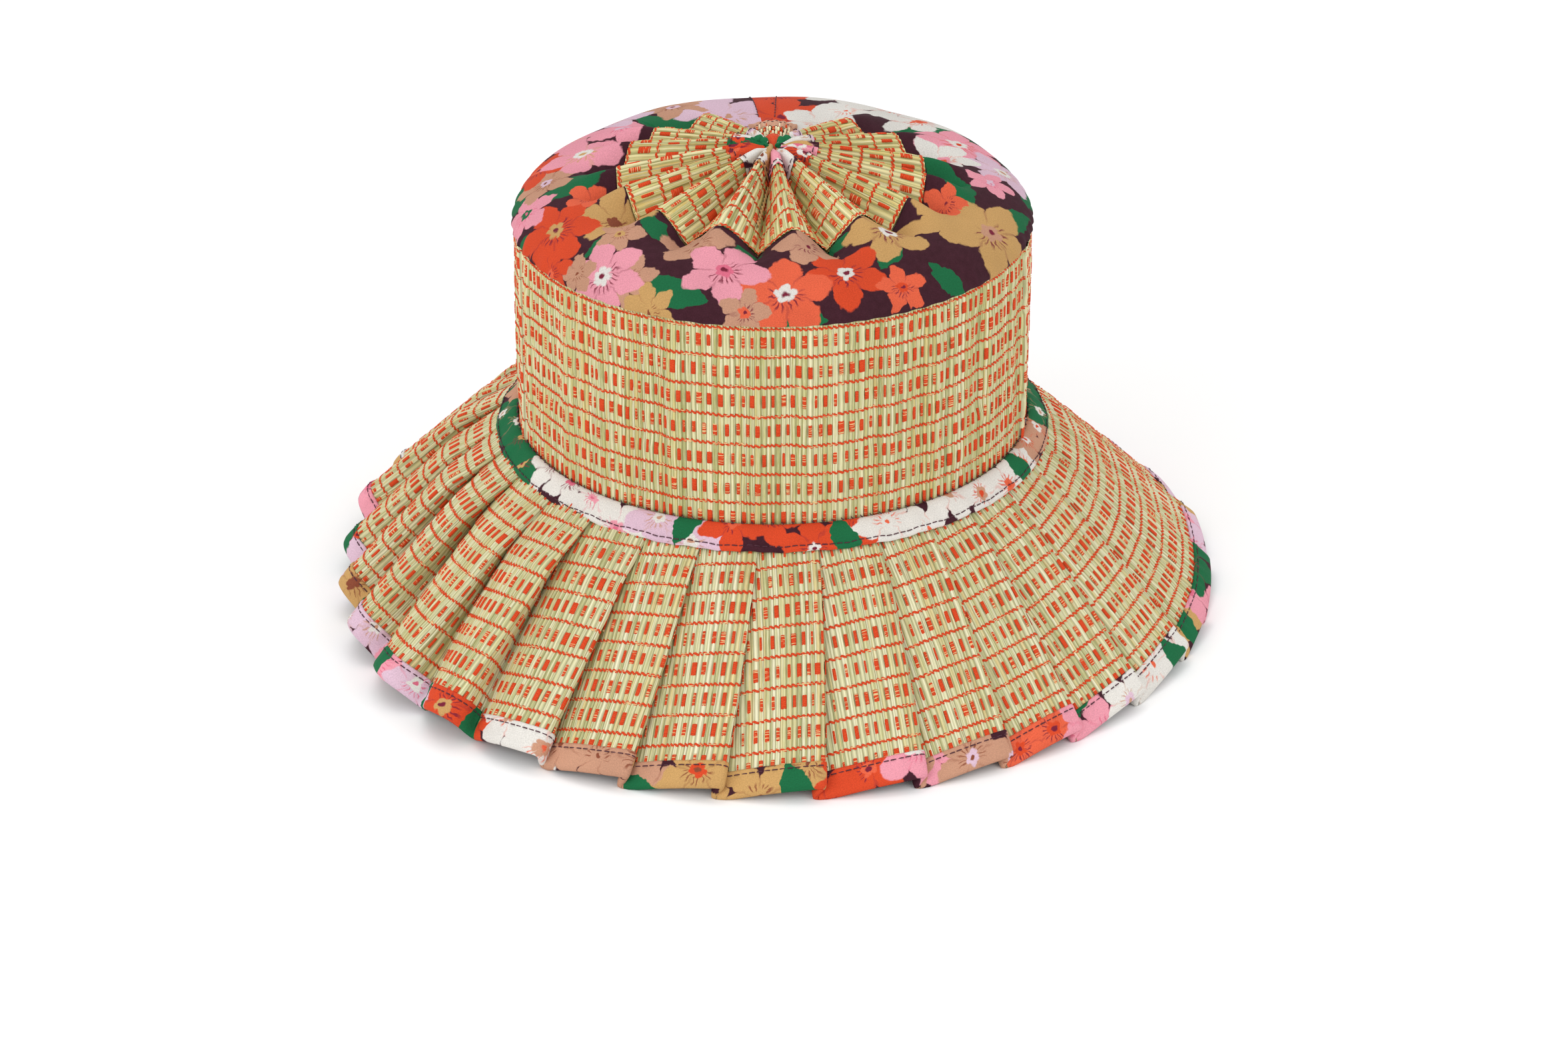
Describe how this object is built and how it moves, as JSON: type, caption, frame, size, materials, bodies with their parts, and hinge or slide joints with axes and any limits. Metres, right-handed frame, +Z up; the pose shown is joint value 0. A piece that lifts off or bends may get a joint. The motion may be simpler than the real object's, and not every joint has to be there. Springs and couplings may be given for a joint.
{
  "type": "sun hat",
  "caption": "Pleated woven-straw sun hat with a round crown, domed printed-cotton shoulder, fan-pleated top and a wide down-sloping knife-pleated brim.",
  "frame": {"origin": "on the floor under the crown's axis, at the level of the brim's lowest edge", "axes": "+Z up along the crown's axis; -Y is the front; the join in the fan is at +Y, the back"},
  "size_m": [0.336, 0.3346, 0.1781],
  "materials": {
    "straw": "woven rush straw, matt with a slight sheen",
    "weft_cotton": "orange-red cotton weft",
    "printed_cotton": "plain-weave cotton with a large floral print",
    "plain_cotton": "plain-weave cotton, dusty beige",
    "sewing_thread": "plum sewing thread"
  },
  "bodies": {
    "root": {"brim_straw": "straw", "crown_side_straw": "straw", "crown_top_fan": "straw", "brim_weft_threads": "weft_cotton", "brim_weft_tapes": "weft_cotton", "crown_weft_threads": "weft_cotton", "crown_weft_tapes": "weft_cotton", "fan_weft_threads": "weft_cotton", "fan_weft_tapes": "weft_cotton", "fan_join_ends": "weft_cotton", "brim_binding": "printed_cotton", "base_band": "printed_cotton", "shoulder_cloth": "printed_cotton", "fan_centre_binding": "printed_cotton", "join_cover": "plain_cotton", "sweatband": "plain_cotton", "brim_binding_stitches": "sewing_thread", "base_band_stitches": "sewing_thread", "crown_whip_stitches": "sewing_thread", "shoulder_seam_stitches": "sewing_thread", "fan_binding_stitches": "sewing_thread", "sweatband_stitches": "sewing_thread", "centre_draw_thread": "sewing_thread"}
  },
  "joints": []
}
